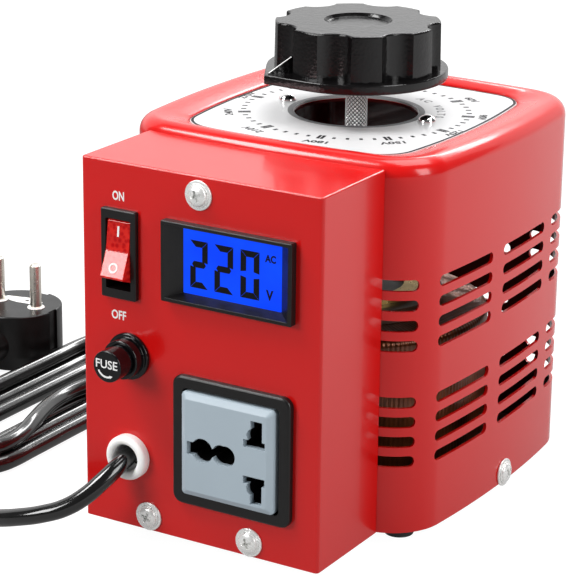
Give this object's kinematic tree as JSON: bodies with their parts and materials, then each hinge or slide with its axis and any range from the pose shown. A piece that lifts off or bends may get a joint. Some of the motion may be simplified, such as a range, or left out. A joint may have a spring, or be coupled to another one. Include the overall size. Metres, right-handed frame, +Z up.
{
  "type": "variable autotransformer",
  "caption": "Bench variable autotransformer: slotted red housing, dial knob on top, control box with digital meter, rocker switch, fuse, outlet and mains cord.",
  "frame": {"origin": "middle of the footprint, cord left out, on the surface that the feet stand on", "axes": "+Z up along the knob's shaft, the control panel faces -Y, +X to the panel's right as seen from the front"},
  "size_m": [0.2589, 0.1955, 0.17],
  "materials": {
    "red_paint": "gloss",
    "black_satin": "satin",
    "black_gloss": "gloss",
    "knob_black": "satin",
    "zinc": "bright",
    "zinc_plate": "satin",
    "bright_chrome": "polished",
    "dial_white": "semi-gloss",
    "core_steel": "matt",
    "fibre": "matt",
    "copper_wire": "enamelled copper",
    "bakelite": "satin",
    "brass": "satin",
    "shaft_steel": "knurled",
    "aluminium": "satin",
    "carbon": "matt",
    "spring_steel": "satin",
    "display_blue": "backlit",
    "board_green": "satin",
    "rocker_red": "translucent",
    "insert_grey": "satin",
    "fuse_glass": "clear",
    "white_nylon": "satin",
    "wire_blue": "satin",
    "cord_pvc": "gloss",
    "plug_black": "satin",
    "pin_nickel": "polished",
    "foot_rubber": "matt"
  },
  "bodies": {
    "root": {"base_plate": "zinc_plate", "rubber_feet": "foot_rubber", "foot_screws": "zinc", "foot_nuts": "zinc", "housing_cover": "red_paint", "housing_screws": "zinc", "control_box": "red_paint", "box_screws": "zinc", "panel_bracket": "zinc_plate", "dial_plate": "dial_white", "dial_screws": "bright_chrome", "dial_nuts": "zinc", "core": "core_steel", "core_caps": "fibre", "winding": "copper_wire", "coil_base": "bakelite", "coil_clamp": "bakelite", "clamp_bolts": "zinc", "clamp_nuts": "zinc", "lower_bush": "brass", "upper_bush": "brass", "slip_ring": "brass", "stop_post": "zinc", "meter_bezel": "black_satin", "meter_display": "display_blue", "meter_board": "board_green", "switch_body": "black_satin", "switch_terminals": "brass", "socket_frame": "black_satin", "socket_insert": "insert_grey", "socket_back": "black_satin", "socket_contacts": "brass", "fuse_holder": "black_gloss", "fuse_nut": "black_satin", "cord_bushing": "white_nylon", "terminal_block": "white_nylon", "lead_wires": "wire_blue", "power_cord": "cord_pvc", "cord_hank": "cord_pvc", "cord_tail": "cord_pvc", "plug_body": "plug_black", "plug_pins": "pin_nickel", "plug_earth_clips": "pin_nickel"},
    "rotor": {"shaft": "shaft_steel", "shaft_collar": "zinc", "thrust_washer": "fibre", "arm_hub": "bakelite", "brush_arm": "aluminium", "arm_screws": "zinc", "brush_holder": "brass", "brush_spring": "spring_steel", "collector_brush": "carbon", "stop_pin": "zinc", "knob": "knob_black", "knob_set_screw": "core_steel"},
    "brush": {"carbon_brush": "carbon"},
    "rocker": {"rocker": "rocker_red"},
    "fuse_carrier": {"fuse_link": "fuse_glass"},
    "fuse_cap": {"fuse_cap": "black_gloss"}
  },
  "joints": [
    {"name": "knob_turn", "type": "hinge", "parent": "root", "child": "rotor", "pos_m": [0, 0.0255, 0.08], "axis": [0, 0, 1], "range_deg": [-88, 242]},
    {"name": "brush_lift", "type": "slide", "parent": "rotor", "child": "brush", "axis": [0, 0, 1], "range_m": [0, 0.0012], "stiffness_N_per_m": 300, "springref_m": -0.003, "deforming": ["brush_spring"]},
    {"name": "switch_rock", "type": "hinge", "parent": "root", "child": "rocker", "pos_m": [-0.032, -0.072, 0.1043], "axis": [1, 0, 0], "range_deg": [0, 30]},
    {"name": "fuse_pull", "type": "slide", "parent": "root", "child": "fuse_carrier", "axis": [0, -1, 0], "range_m": [0, 0.003]},
    {"name": "fuse_turn", "type": "hinge", "parent": "fuse_carrier", "child": "fuse_cap", "pos_m": [-0.029, -0.08, 0.0685], "axis": [0, -1, 0], "range_deg": [0, 60]}
  ],
  "couplings": [
    {"joint": "fuse_turn", "follows": "fuse_pull", "rad_per_m": 349.07}
  ]
}
